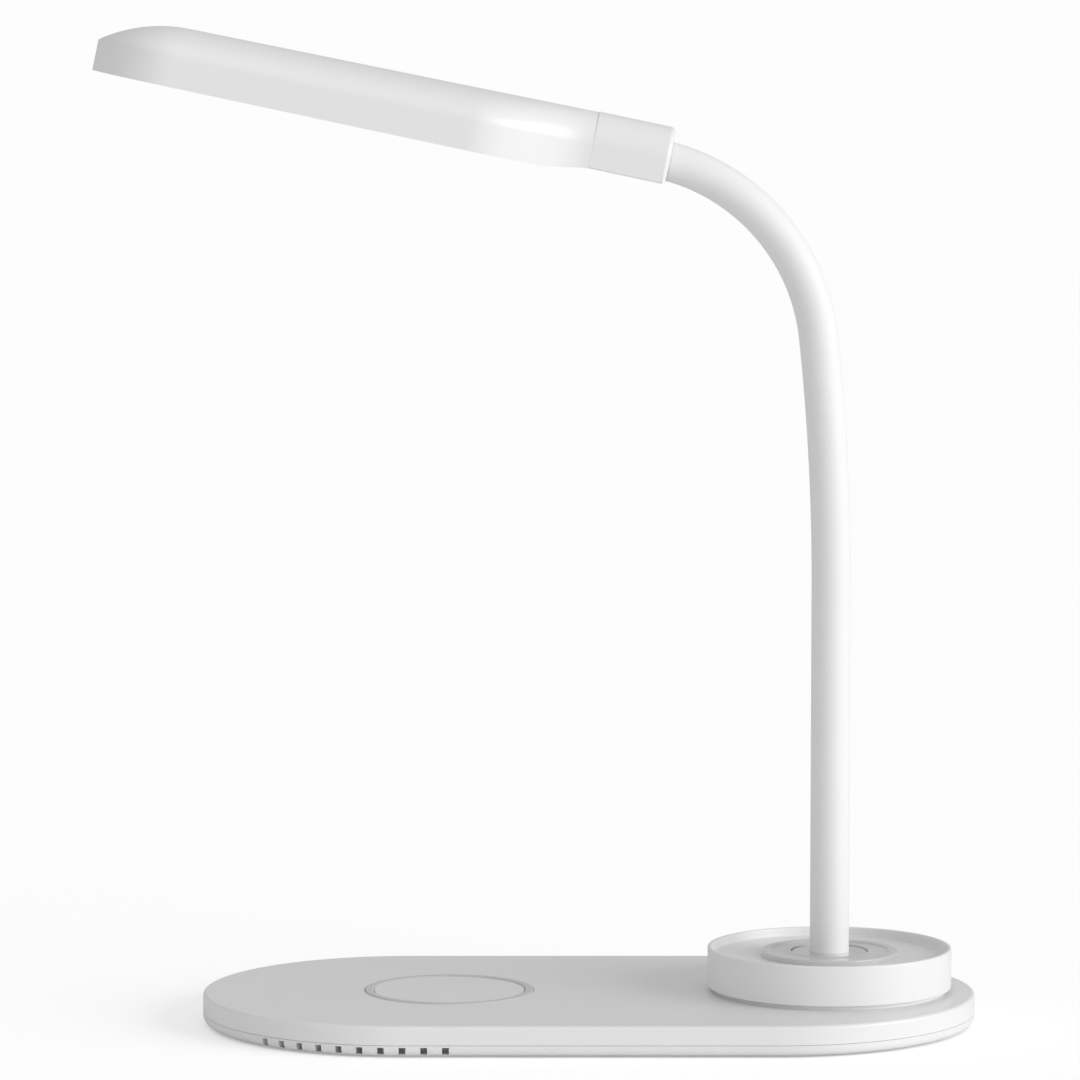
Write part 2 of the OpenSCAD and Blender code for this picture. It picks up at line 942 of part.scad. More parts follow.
// The collar's section, drawn in by a wall
module arch(wall) {
    half = collar_half_w - wall;
    low = collar_rise + wall;
    spring = head_h - collar_half_w;
    translate([-half, low])
        square([2 * half, spring - low]);
    translate([0, spring])
        circle(half);
}

// The head's outline from above, drawn in by a wall
module head_plan(start, end, wall) {
    us = concat(even(start, shoulder_end, 6), crowd(nose_start, end, 10));
    n = len(us) - 1;
    polygon(concat(
        [for (i = [0 : n]) [us[i], max(tip_half_w / 2, half_w(us[i]) - wall)]],
        [for (i = [n : -1 : 0]) [us[i], -max(tip_half_w / 2, half_w(us[i]) - wall)]]
    ));
}

module head_cavity() {
    half = full_half_w - head_wall;
    top = top_v(fall_start) - head_wall;
    rise = top - head_side_h;
    dome_r = (half * half + rise * rise) / (2 * rise);
    translate([0, 0, -over])
        linear_extrude(height = nose_cavity_h + over)
            head_plan(frame_start, head_len - head_wall, head_wall);
    intersection() {
        linear_extrude(height = head_h)
            head_plan(frame_start, head_len - head_wall, head_wall);
        along_head(frame_start, cavity_end)
            translate([0, top - dome_r])
                circle(dome_r);
    }
    along_head(collar_len - over, frame_start + over)
        arch(head_wall);
}

module head_shell() {
    us = concat(even(collar_len, shoulder_end, 12), crowd(fall_start, head_len, 12));
    color("whitesmoke")
    at_head()
        difference() {
            loft([for (u = us) outline(u, under_v(u))]);
            // The hollow, but for the screw bosses that stand in it
            difference() {
                head_cavity();
                at_head_bosses()
                    translate([0, 0, spreader_z + spreader_t])
                        difference() {
                            cylinder(d = head_boss_d, h = head_boss_top);
                            translate([0, 0, -over])
                                cylinder(d = head_screw_d, h = head_boss_h);
                        }
            }
        }
}

module at_head_bosses() {
    for (u = [window_start, cavity_end], y = [-1, 1])
        translate([u + (u == window_start ? 1 : -1) * head_boss_inset, y * head_boss_y, 0])
            children();
}

module head_collar() {
    color("whitesmoke")
    difference() {
        at_head()
            union() {
                along_head(0, collar_len)
                    arch(0);
                along_head(collar_len, collar_len + collar_tongue)
                    arch(head_wall + slip);
            }
        at_station(last_link + 1) {
            translate([0, 0, -neck_r])
                cylinder(r = neck_r + seat, h = neck_r + clamp_start);
            translate([0, 0, -neck_r])
                cylinder(r = neck_r + bush_t + seat, h = neck_r + collar_gap + bush_depth);
            translate([0, 0, clamp_start + clamp_len / 2])
                cube([clamp_h + 2 * seat, clamp_w + 2 * seat, clamp_len + 2 * seat], center = true);
            cylinder(r = core_r + seat, h = collar_len + 2 * collar_tongue);
        }
    }
}

module collar_bush() {
    color("dimgray")
    intersection() {
        at_station(last_link + 1)
            translate([0, 0, -neck_r])
                ring(neck_r + bush_t, neck_r + seat, neck_r + collar_gap + bush_depth - seat);
        at_head()
            translate([seat, -head_w, 0])
                cube([collar_len, 2 * head_w, 2 * head_h]);
    }
}

module neck_clamp() {
    color("silver")
    at_station(last_link + 1)
        difference() {
            translate([0, 0, clamp_start + clamp_len / 2])
                cube([clamp_h, clamp_w, clamp_len], center = true);
            cylinder(r = core_r + seat, h = clamp_start + clamp_len + over);
            translate([0, 0, clamp_start + clamp_len / 2])
                rotate([90, 0, 0])
                    cylinder(d = grub_d + 2 * seat, h = clamp_w + 2 * over, center = true);
        }
}

module clamp_screws() {
    color("dimgray")
    at_station(last_link + 1)
        for (s = [-1, 1])
            translate([0, 0, clamp_start + clamp_len / 2])
                rotate([s * 90, 0, 0])
                    translate([0, 0, clamp_w / 2 - grub_len])
                        cylinder(d = grub_d, h = grub_len);
}

module head_frame() {
    edge = head_wall + slip;
    color("white")
    at_head()
        difference() {
            linear_extrude(height = frame_t)
                head_plan(frame_start + slip, head_len - edge, edge);
            translate([window_mid, 0, -over])
                linear_extrude(height = frame_t + 2 * over)
                    slot_plan(window_len, window_w);
        }
}

module diffuser() {
    color("ghostwhite")
    at_head()
        translate([window_mid, 0, 0]) {
            translate([0, 0, frame_t])
                linear_extrude(height = frame_t)
                    slot_plan(window_len + ledge, window_w + ledge);
            translate([0, 0, diffuser_recess])
                linear_extrude(height = frame_t - diffuser_recess + seat)
                    slot_plan(window_len - 2 * slip, window_w - 2 * slip);
        }
}

module lamp_board() {
    color("white")
    at_head()
        translate([spreader_start + board_end, -lamp_board_w / 2, lamp_board_z])
            cube([spreader_len - board_end, lamp_board_w, board_t]);
}

module lamps() {
    first = spreader_start + board_end + led_len;
    pitch = (spreader_len - board_end - 2 * led_len) / (led_count - 1);
    color("khaki")
    at_head()
        for (i = [0 : led_count - 1], y = [-1, 1])
            translate([first + i * pitch, y * led_rows / 2, lamp_board_z - led_t / 2])
                cube([led_len, led_w, led_t], center = true);
}

module heat_spreader() {
    color("silver")
    at_head()
        difference() {
            translate([spreader_start, -spreader_w / 2, spreader_z])
                cube([spreader_len, spreader_w, spreader_t]);
            at_head_bosses()
                translate([0, 0, spreader_z - over])
                    cylinder(d = head_screw_d + 2 * slip, h = spreader_t + 2 * over);
        }
}

module head_screws() {
    color("silver")
    at_head()
        at_head_bosses()
            translate([0, 0, spreader_z - head_screw_head_h])
                screw(
                    head_screw_d - 2 * seat,
                    head_screw_head_d,
                    head_screw_head_h,
                    head_screw_head_h + spreader_t + head_screw_bite,
                    false
                );
}

base_top_cover();
base_bottom_cover();
non_slip_pad();
cover_screws();
ballast_plate_left();
ballast_plate_right();
ferrite_sheet();
charging_coil();
grip_ring();
main_board();
main_board_parts();
power_inlet();
turret_shell();
touch_ring();
touch_board();
turret_screws();
neck_ferrule();
neck_anchor();
neck_washer();
neck_nut();
neck_sleeve(0);  // neck_sleeve_0
neck_sleeve(1);  // neck_sleeve_1
neck_sleeve(2);  // neck_sleeve_2
neck_sleeve(3);  // neck_sleeve_3
neck_sleeve(4);  // neck_sleeve_4
neck_sleeve(5);  // neck_sleeve_5
neck_sleeve(6);  // neck_sleeve_6
neck_sleeve(7);  // neck_sleeve_7
neck_sleeve(8);  // neck_sleeve_8
neck_sleeve(9);  // neck_sleeve_9
neck_sleeve(10);  // neck_sleeve_10
neck_core(0);  // neck_core_0
neck_core(1);  // neck_core_1
neck_core(2);  // neck_core_2
neck_core(3);  // neck_core_3
neck_core(4);  // neck_core_4
neck_core(5);  // neck_core_5
neck_core(6);  // neck_core_6
neck_core(7);  // neck_core_7
neck_core(8);  // neck_core_8
neck_core(9);  // neck_core_9
neck_core(10);  // neck_core_10
head_shell();
head_collar();
collar_bush();
neck_clamp();
clamp_screws();
head_frame();
diffuser();
lamp_board();
lamps();
heat_spreader();
head_screws();
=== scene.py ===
"""Desk lamp with a charging base: shells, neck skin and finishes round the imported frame.

All sizes are in metres in the frame's own axes: X along the base towards the neck, Z up.
"""

import json
import math

import bmesh
import bpy
from mathutils import Matrix, Vector


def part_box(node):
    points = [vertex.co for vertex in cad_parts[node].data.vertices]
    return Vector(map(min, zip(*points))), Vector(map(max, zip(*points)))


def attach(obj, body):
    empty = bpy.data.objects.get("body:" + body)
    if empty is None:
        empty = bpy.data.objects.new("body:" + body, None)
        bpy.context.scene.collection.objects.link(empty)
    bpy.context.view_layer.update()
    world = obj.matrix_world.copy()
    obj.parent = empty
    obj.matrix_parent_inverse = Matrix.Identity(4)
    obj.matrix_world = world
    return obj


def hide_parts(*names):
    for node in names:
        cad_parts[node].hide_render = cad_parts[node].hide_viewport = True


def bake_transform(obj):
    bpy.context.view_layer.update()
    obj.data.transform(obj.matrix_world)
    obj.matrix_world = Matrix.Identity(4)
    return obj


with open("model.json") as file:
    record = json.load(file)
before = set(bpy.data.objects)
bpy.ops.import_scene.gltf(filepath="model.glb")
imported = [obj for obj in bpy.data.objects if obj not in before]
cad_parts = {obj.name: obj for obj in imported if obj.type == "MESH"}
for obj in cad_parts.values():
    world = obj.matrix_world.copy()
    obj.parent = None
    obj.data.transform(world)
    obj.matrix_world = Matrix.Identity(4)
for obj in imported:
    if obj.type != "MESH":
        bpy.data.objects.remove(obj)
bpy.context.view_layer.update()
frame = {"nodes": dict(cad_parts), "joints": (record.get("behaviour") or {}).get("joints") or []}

bl_info = {
    "name": "Desk lamp with charging base",
    "version": (1, 0, 0),
    "blender": (4, 5, 0),
    "location": "3D View > Sidebar > Desk Lamp",
    "description": "Dresses the lamp's frame with its shells, neck skin and finishes",
    "category": "Object",
}

MM = 0.001
JOINT_AT = {j["name"]: Vector(j["pos_m"]) for j in frame["joints"]}
HINGES = [j["name"] for j in frame["joints"]]
LINKS = ["base"] + [j["child"] for j in frame["joints"]]


def low(node):
    """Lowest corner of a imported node."""
    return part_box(node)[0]


def high(node):
    """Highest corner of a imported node."""
    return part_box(node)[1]


def middle(node):
    return (low(node) + high(node)) / 2


# --- Sizes and colours ---


class LampSizes(bpy.types.PropertyGroup):
    """Sizes of the pieces that are modelled here. Those of the frame are read from it."""

    turret_edge: bpy.props.FloatProperty(
        name="Turret edge", description="Radius of the turret's rim", default=0.45 * MM, unit="LENGTH"
    )
    turret_rim: bpy.props.FloatProperty(
        name="Turret rim", description="Thickness of the turret's rim", default=1.1 * MM, unit="LENGTH"
    )
    dish_depth: bpy.props.FloatProperty(
        name="Dish depth", description="Depth of the dish in the turret", default=2.5 * MM, unit="LENGTH"
    )
    neck_radius: bpy.props.FloatProperty(
        name="Neck radius", description="Outer radius of the neck's skin", default=5.3 * MM, unit="LENGTH"
    )
    neck_wall: bpy.props.FloatProperty(
        name="Neck wall", description="Thickness of the neck's skin", default=1.9 * MM, unit="LENGTH"
    )
    head_tilt: bpy.props.FloatProperty(
        name="Head tilt", description="Slope of the head", default=math.radians(12), subtype="ANGLE"
    )
    head_length: bpy.props.FloatProperty(
        name="Head length", description="From the collar's mouth to the tip", default=156.3 * MM, unit="LENGTH"
    )
    head_wall: bpy.props.FloatProperty(
        name="Head wall", description="Thickness of the head's shell", default=1.5 * MM, unit="LENGTH"
    )
    mouth_edge: bpy.props.FloatProperty(
        name="Mouth edge", description="Radius of the collar's edge at its mouth", default=1.3 * MM, unit="LENGTH"
    )


class LampColours(bpy.types.PropertyGroup):
    """Colours and light levels."""

    plastic: bpy.props.FloatVectorProperty(
        name="Plastic", description="White of the glossy mouldings", subtype="COLOR", default=(0.84, 0.84, 0.84)
    )
    satin: bpy.props.FloatVectorProperty(
        name="Satin plastic", description="White of the satin mouldings", subtype="COLOR", default=(0.82, 0.82, 0.82)
    )
    silicone: bpy.props.FloatVectorProperty(
        name="Silicone", description="White of the neck's skin", subtype="COLOR", default=(0.85, 0.85, 0.85)
    )
    touch: bpy.props.FloatVectorProperty(
        name="Touch ring", description="Grey of the touch ring", subtype="COLOR", default=(0.62, 0.62, 0.63)
    )
    key_light: bpy.props.FloatProperty(
        name="Key light", description="Level of the lamp on the right", default=2.45, min=0
    )
    fill_light: bpy.props.FloatProperty(
        name="Fill light", description="Level of the lamp at the front left", default=0.25, min=0
    )
    room_light: bpy.props.FloatProperty(
        name="Room light", description="Level of the light from all round", default=0.53, min=0
    )
    backdrop: bpy.props.FloatProperty(
        name="Backdrop", description="Brightness of the backdrop", default=0.98, min=0, max=1
    )
    floor_glow: bpy.props.FloatProperty(
        name="Floor glow", description="Lifts the floor to the backdrop, for the camera only", default=0.325, min=0
    )


# --- Modelling by operators ---


def object_mode():
    if bpy.context.mode != "OBJECT":
        bpy.ops.object.mode_set(mode="OBJECT")


def only(piece):
    """Makes one piece the only selected and active object."""
    object_mode()
    bpy.ops.object.select_all(action="DESELECT")
    piece.select_set(True)
    bpy.context.view_layer.objects.active = piece


def fresh(name, primitive, **place):
    """Adds a primitive at its size and place, under a plain name."""
    object_mode()
    bpy.ops.object.select_all(action="DESELECT")
    getattr(bpy.ops.mesh, f"primitive_{primitive}_add")(**place)
    piece = bpy.context.object
    piece.name = piece.data.name = name
    return piece


def shape(piece):
    """Enters edit mode on a piece with nothing selected."""
    only(piece)
    bpy.ops.object.mode_set(mode="EDIT")
    bpy.ops.mesh.select_all(action="DESELECT")


def begin(piece):
    """Puts a new piece's place into its mesh and enters edit mode on it."""
    only(piece)
    bpy.ops.object.transform_apply(location=True, rotation=True, scale=True)
    shape(piece)


def pick(kind, rule):
    """Selects only the vertices, edges or faces that a rule keeps."""
    bpy.ops.mesh.select_mode(type=kind)
    bpy.ops.mesh.select_all(action="DESELECT")
    data = bpy.context.edit_object.data
    mesh = bmesh.from_edit_mesh(data)
    kept = [e for e in {"VERT": mesh.verts, "EDGE": mesh.edges, "FACE": mesh.faces}[kind] if rule(e)]
    for e in kept:
        e.select_set(True)
    mesh.select_flush_mode()
    bmesh.update_edit_mesh(data)
    if not kept:
        raise RuntimeError(f"nothing to shape on {bpy.context.edit_object.name}")


def move(x=0, y=0, z=0):
    bpy.ops.transform.translate(value=(x, y, z))


def extrude(x=0, y=0, z=0):
    bpy.ops.mesh.extrude_region_move(TRANSFORM_OT_translate={"value": (x, y, z)})


def inset(width):
    bpy.ops.mesh.inset(thickness=width, use_even_offset=True)


def soften(radius, segments=4):
    """Rounds the selected edges."""
    bpy.ops.mesh.bevel(offset=radius, segments=segments, profile=0.5, affect="EDGES", clamp_overlap=True)


def near(a, b, within=2e-5):
    return abs(a - b) < within


def faces_at(z, up):
    """Rule for flat faces at a height that look up or down."""
    return lambda f: near(f.calc_center_median().z, z) and f.normal.z * up > 0.9


def length_in_x(edge):
    first, last = edge.verts
    return abs(first.co.x - last.co.x)


def ring_edges(z, reach, within=1.2e-4, centre=(0, 0)):
    """Rule for the edges of a round loop at a height."""
    return lambda e: all(
        near(v.co.z, z) and near(math.hypot(v.co.x - centre[0], v.co.y - centre[1]), reach, within) for v in e.verts
    )


def disc(name, node, steps, **settings):
    """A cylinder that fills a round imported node's box, left in edit mode. Gives it, its centre and its radius."""
    lo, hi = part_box(node)
    centre, reach = (lo + hi) / 2, (hi.x - lo.x) / 2
    piece = fresh(name, "cylinder", vertices=steps, radius=reach, depth=hi.z - lo.z, location=centre, **settings)
    begin(piece)
    return piece, centre, reach


def pierce(hole=math.inf):
    """Joins the top and bottom faces inside a radius into a hole."""
    pick("FACE", lambda f: len(f.verts) > 100 and f.calc_area() < 1.2 * math.pi * hole**2)
    bpy.ops.mesh.bridge_edge_loops()


def modify(piece, kind, **settings):
    """Adds a modifier and applies it."""
    only(piece)
    made = piece.modifiers.new(kind.title(), kind)
    for key, value in settings.items():
        setattr(made, key, value)
    bpy.ops.object.modifier_apply(modifier=made.name)


def cut(piece, tool):
    """Cuts a tool out of a piece and removes the tool."""
    modify(piece, "BOOLEAN", object=tool, operation="DIFFERENCE", solver="EXACT")
    bpy.data.objects.remove(tool)


def outward(piece):
    """Turns every face outwards once doubles are merged."""
    shape(piece)
    bpy.ops.mesh.select_all(action="SELECT")
    bpy.ops.mesh.remove_doubles(threshold=1e-6)
    bpy.ops.mesh.normals_make_consistent(inside=False)
    object_mode()


def settle(piece, angle=32, weighted=True):
    """Puts a piece's place into its mesh and smooths it."""
    only(piece)
    bpy.ops.object.transform_apply(location=True, rotation=True, scale=True)
    bpy.ops.object.shade_smooth_by_angle(angle=math.radians(angle))
    if weighted:
        modify(piece, "WEIGHTED_NORMAL", keep_sharp=True, weight=60)


def dress(piece, finish):
    """Gives a piece one finish."""
    piece.data.materials.clear()
    piece.data.materials.append(finish)


# --- Shader maths ---


class Wire:
    """One value in a material. Arithmetic on it adds the Math nodes."""

    def __init__(self, finish, socket):
        self.finish = finish
        self.socket = socket

    def maths(self, operation, *others, clamp=False):
        made = self.finish.node("Math", dict(operation=operation, use_clamp=clamp))
        for place, value in enumerate((self, *others)):
            self.finish.feed(made.inputs[place], value)
        return Wire(self.finish, made.outputs[0])

    def __add__(self, other):
        return self.maths("ADD", other)

    def __sub__(self, other):
        return self.maths("SUBTRACT", other)

    def __mul__(self, other):
        return self.maths("MULTIPLY", other)

    def __truediv__(self, other):
        return self.maths("DIVIDE", other)

    def __rsub__(self, other):
        return (self * -1) + other

    __radd__ = __add__
    __rmul__ = __mul__

    def power(self, other):
        return self.maths("POWER", other)

    def above(self, edge, width=0.05):
        """0 below an edge and 1 above it, with a soft step."""
        return ((self - edge) / width).maths("ADD", 0.5, clamp=True)


class Finish:
    """One procedural material."""

    def __init__(self, name):
        self.material = bpy.data.materials.new(name)
        self.material.use_nodes = True
        self.tree = self.material.node_tree
        self.tree.nodes.clear()
        self.surface = self.node("BsdfPrincipled")
        self.output = self.node("OutputMaterial")
        self.tree.links.new(self.surface.outputs[0], self.output.inputs[0])
        self.place = self.out(self.node("TexCoord"), "Object")

    def node(self, kind, settings=None, **sockets):
        """Any node: its type, its settings, and its sockets' values or links."""
        made = self.tree.nodes.new(f"ShaderNode{kind}")
        for key, value in (settings or {}).items():
            setattr(made, key, value)
        for key, value in sockets.items():
            self.feed(made.inputs[key.replace("_", " ")], value)
        return made

    def feed(self, socket, value):
        if isinstance(value, Wire):
            self.tree.links.new(value.socket, socket)
        elif hasattr(value, "__len__") and len(value) == 3 and socket.type == "RGBA":
            socket.default_value = (*value, 1)
        else:
            socket.default_value = value

    def out(self, node, name=0):
        return Wire(self, node.outputs[name])

    def set(self, **sockets):
        for key, value in sockets.items():
            self.feed(self.surface.inputs[key.replace("_", " ")], value)
        return self

    def moved(self, at=(0, 0, 0), turn=(0, 0, 0), scale=(1, 1, 1)):
        """Object coordinates after a Mapping node."""
        return self.out(self.node("Mapping", Vector=self.place, Location=at, Rotation=turn, Scale=scale))

    def axes(self, vector=None):
        made = self.node("SeparateXYZ", Vector=vector or self.place)
        return [self.out(made, axis) for axis in "XYZ"]

    def round_axes(self, centre):
        """Distance from an upright axis through a centre, and height."""
        x, y, z = self.axes(self.moved(at=(-centre.x, -centre.y, 0)))
        return (x * x + y * y).power(0.5), z

    def noise(self, scale, detail=3, roughness=0.5, vector=None):
        made = self.node("TexNoise", Vector=vector or self.place, Scale=scale, Detail=detail, Roughness=roughness)
        return self.out(made, "Fac")

    def cells(self, scale, vector=None, feature="F1"):
        made = self.node("TexVoronoi", dict(feature=feature), Vector=vector or self.place, Scale=scale)
        return self.out(made, "Distance")

    def blend(self, amount, first, second):
        """A colour between two colours."""
        made = self.node("Mix", dict(data_type="RGBA"))
        self.feed(made.inputs[0], amount)
        self.feed(made.inputs[6], first)
        self.feed(made.inputs[7], second)
        return Wire(self, made.outputs[2])

    def relief(self, height, depth, strength=1.0):
        """Bump from a height, whose full range is a depth in metres."""
        made = self.node("Bump", Height=height, Distance=depth, Strength=strength)
        return self.set(Normal=self.out(made, "Normal"))


def tone(colour, factor):
    return tuple(min(1, c * factor) for c in colour)


def moulded_gloss(colour):
    """Glossy white moulding: faint flow marks, orange peel and handling haze."""
    f = Finish("moulded_gloss")
    flow = f.noise(22, 2, vector=f.moved(scale=(0.45, 1, 1)))
    haze = f.noise(95, 4, 0.6)
    peel = f.noise(500, 2)
    f.set(Base_Color=f.blend(flow, tone(colour, 0.975), tone(colour, 1.02)))
    f.set(Roughness=haze * 0.1 + flow * 0.05 + 0.27, IOR=1.49, Coat_Weight=0.12, Coat_Roughness=0.2)
    f.relief(peel, 0.02 * MM, 0.2)
    return f.material


def moulded_satin(colour):
    """Satin white moulding with a fine spark-eroded grain."""
    f = Finish("moulded_satin")
    flow = f.noise(18, 2)
    grain = f.cells(1900)
    f.set(Base_Color=f.blend(flow, tone(colour, 0.97), tone(colour, 1.015)))
    f.set(Roughness=f.noise(120, 3) * 0.14 + 0.36, IOR=1.49)
    f.relief(grain + f.noise(1300, 3), 0.05 * MM, 0.5)
    return f.material


def silicone_skin(colour):
    """Soft white silicone: even, faintly cloudy, with a powdery sheen."""
    f = Finish("silicone_skin")
    cloud = f.noise(38, 3)
    dust = f.noise(1600, 2)
    f.set(Base_Color=f.blend(cloud, tone(colour, 0.975), tone(colour, 1.015)))
    f.set(Roughness=cloud * 0.1 + dust * 0.08 + 0.4, IOR=1.41, Sheen_Weight=0.06, Sheen_Roughness=0.4)
    f.relief(dust * 0.6 + f.noise(420, 3) * 0.4, 0.04 * MM, 0.35)
    return f.material


def pad_rubber():
    """Grey non-slip silicone with a fine diamond tread."""
    f = Finish("pad_rubber")
    x, y, _ = f.axes(f.moved(turn=(0, 0, math.radians(45)), scale=(520, 520, 520)))
    tread = x.maths("PINGPONG", 1) * y.maths("PINGPONG", 1)
    dust = f.noise(260, 5, 0.65)
    f.set(Base_Color=f.blend(dust, (0.33, 0.33, 0.34), (0.42, 0.42, 0.43)))
    f.set(Roughness=dust * 0.2 + 0.55)
    f.relief(tread + dust * 0.2, 0.25 * MM, 0.8)
    return f.material


def dark_rubber():
    """Black bush rubber, slightly greyed by dust."""
    f = Finish("dark_rubber")
    dust = f.noise(700, 5, 0.7)
    f.set(Base_Color=f.blend(dust, (0.045, 0.045, 0.048), (0.1, 0.1, 0.1)))
    f.set(Roughness=dust * 0.25 + 0.5)
    f.relief(dust, 0.04 * MM, 0.6)
    return f.material


def grip_rubber():
    """Pale grey rubber of the ring on the charging place."""
    f = Finish("grip_rubber")
    dust = f.noise(600, 4, 0.6)
    f.set(Base_Color=f.blend(dust, (0.56, 0.56, 0.57), (0.63, 0.63, 0.64)))
    f.set(Roughness=dust * 0.2 + 0.5, Sheen_Weight=0.1)
    f.relief(dust + f.cells(1500), 0.05 * MM, 0.5)
    return f.material


def touch_gloss(colour, centre):
    """Touch ring: polished cap with concentric turning and finger haze."""
    f = Finish("touch_gloss")
    reach, _ = f.round_axes(centre)
    turning = (reach * 9000).maths("SINE") * 0.5 + 0.5
    haze = f.noise(130, 4, 0.6)
    f.set(Base_Color=f.blend(haze, tone(colour, 0.94), tone(colour, 1.05)))
    f.set(Roughness=haze * 0.16 + turning * 0.04 + 0.12, IOR=1.5, Coat_Weight=0.6, Coat_Roughness=0.05)
    f.relief(turning * 0.5 + f.noise(1000, 2) * 0.5, 0.01 * MM, 0.3)
    return f.material


def turned_steel(name, centre, shade=(0.56, 0.57, 0.58), rough=0.24):
    """Machined metal: turning marks round an upright axis, with small stains."""
    f = Finish(name)
    reach, z = f.round_axes(centre)
    marks = f.noise(1, 6, 0.7, vector=f.out(f.node("CombineXYZ", X=reach * 5200, Y=z * 5200, Z=0.3)))
    stain = f.noise(240, 4, 0.6)
    f.set(Base_Color=f.blend(stain, tone(shade, 0.9), tone(shade, 1.1)), Metallic=1.0)
    f.set(Roughness=marks * 0.16 + stain * 0.1 + rough)
    f.relief(marks, 0.015 * MM, 0.5)
    return f.material


def zinc_steel(name="zinc_steel", shade=(0.6, 0.61, 0.6)):
    """Zinc-plated steel: cloudy crystals and fine scratches."""
    f = Finish(name)
    crystals = f.cells(420)
    scratch = f.noise(60, 8, 0.75, vector=f.moved(scale=(1, 18, 1)))
    f.set(Base_Color=f.blend(crystals + scratch * 0.4, tone(shade, 0.82), tone(shade, 1.1)), Metallic=1.0)
    f.set(Roughness=crystals * 0.2 + scratch * 0.2 + 0.2)
    f.relief(scratch, 0.01 * MM, 0.5)
    return f.material


def hose_metal():
    """Bendable hose: tight spiral ribs of wire, with painted shade darkening the grooves between them."""
    f = Finish("hose_metal")
    x, _, z = f.axes()
    rib_and_groove_shade = (z * 4200 + x * 1300).maths("SINE") * 0.5 + 0.5
    grime = f.noise(500, 4)
    # the dark grey in the grooves is painted shade; the crests keep the metal's own grey
    f.set(Base_Color=f.blend(rib_and_groove_shade, (0.3, 0.3, 0.31), (0.62, 0.62, 0.63)), Metallic=1.0)
    f.set(Roughness=grime * 0.2 + 0.25)
    f.relief(rib_and_groove_shade, 0.3 * MM, 0.9)
    return f.material


def brushed_aluminium():
    """Brushed sheet with long fine lines."""
    f = Finish("brushed_aluminium")
    lines = f.noise(90, 7, 0.8, vector=f.moved(scale=(1, 40, 1)))
    f.set(Base_Color=f.blend(lines, (0.62, 0.63, 0.65), (0.8, 0.81, 0.82)), Metallic=1.0)
    f.set(Roughness=lines * 0.2 + 0.26)
    f.relief(lines, 0.02 * MM, 0.5)
    return f.material


def circuit_board():
    """Green solder mask with tracks, pads and plated holes."""
    f = Finish("circuit_board")
    tracks = f.cells(260, feature="DISTANCE_TO_EDGE").above(0.05, 0.03)
    pads = 1 - f.cells(430).above(0.22, 0.04)
    green = f.blend(tracks, (0.02, 0.16, 0.07), (0.012, 0.09, 0.04))
    f.set(Base_Color=f.blend(pads, green, (0.72, 0.6, 0.3)))
    f.set(Metallic=pads * 0.9, Roughness=pads * -0.1 + f.noise(200, 2) * 0.1 + 0.34)
    f.relief(1 - tracks, 0.06 * MM, 0.6)
    return f.material


def lamp_board_white():
    """White solder mask, with faint copper tracks under it."""
    f = Finish("lamp_board_white")
    tracks = f.cells(170, feature="DISTANCE_TO_EDGE").above(0.06, 0.03)
    f.set(Base_Color=f.blend(tracks, (0.74, 0.74, 0.72), (0.85, 0.85, 0.84)))
    f.set(Roughness=f.noise(300, 3) * 0.15 + 0.3)
    f.relief(tracks, 0.05 * MM, 0.5)
    return f.material


def chip_epoxy():
    """Black moulded chip bodies with a matt grain."""
    f = Finish("chip_epoxy")
    grain = f.noise(1800, 4, 0.7)
    f.set(Base_Color=f.blend(grain, (0.03, 0.03, 0.032), (0.065, 0.065, 0.068)))
    f.set(Roughness=grain * 0.2 + 0.5)
    f.relief(grain, 0.05 * MM, 0.6)
    return f.material


def wound_copper(centre):
    """Flat coil of lacquered copper wire, laid turn by turn, with painted shade darkening the copper between the
    turns.
    """
    f = Finish("wound_copper")
    pitch = 1.3 * MM
    reach, _ = f.round_axes(centre)
    turns_and_gap_shade = (reach * (2 * math.pi / pitch)).maths("SINE") * 0.5 + 0.5
    # the dark brown between the turns is painted shade; the crests keep the copper's own colour
    f.set(Base_Color=f.blend(turns_and_gap_shade, (0.2, 0.075, 0.03), (0.72, 0.31, 0.14)), Metallic=0.85)
    f.set(Roughness=f.noise(400, 3) * 0.15 + 0.22)
    f.relief(turns_and_gap_shade, 0.5 * MM, 1)
    return f.material


def ferrite_grey():
    """Dark sintered sheet with a crazed surface."""
    f = Finish("ferrite_grey")
    cracks = f.cells(260, feature="DISTANCE_TO_EDGE").above(0.03, 0.02)
    f.set(Base_Color=f.blend(cracks, (0.02, 0.02, 0.022), (0.07, 0.07, 0.075)))
    f.set(Roughness=f.noise(600, 4) * 0.2 + 0.5)
    f.relief(cracks, 0.05 * MM, 0.6)
    return f.material


def opal_window():
    """Opal diffuser: milky, with a fine prism texture."""
    f = Finish("opal_window")
    prisms = f.cells(900)
    milk = f.noise(60, 3)
    f.set(Base_Color=f.blend(milk, (0.86, 0.86, 0.85), (0.92, 0.92, 0.91)))
    f.set(Roughness=prisms * 0.15 + 0.3, IOR=1.49, Subsurface_Weight=0.35, Subsurface_Scale=0.002)
    f.relief(prisms, 0.08 * MM, 0.6)
    return f.material


def phosphor():
    """Lamp faces: yellow phosphor gel in white frames."""
    f = Finish("phosphor")
    grain = f.noise(1500, 3)
    f.set(Base_Color=f.blend(grain, (0.8, 0.62, 0.18), (0.93, 0.78, 0.36)))
    f.set(Roughness=grain * 0.2 + 0.3, Subsurface_Weight=0.2, Subsurface_Scale=0.001)
    f.relief(grain, 0.03 * MM, 0.5)
    return f.material


# --- Head's form, in its own frame: u from the collar's mouth to the tip, v up ---


def spread(start, end, steps):
    """Even steps from a start up to, but without, an end."""
    return [start + (end - start) * i / steps for i in range(steps)]


def smooth_step(u, start, end):
    t = min(1, max(0, (u - start) / (end - start)))
    return t * t * (3 - 2 * t)


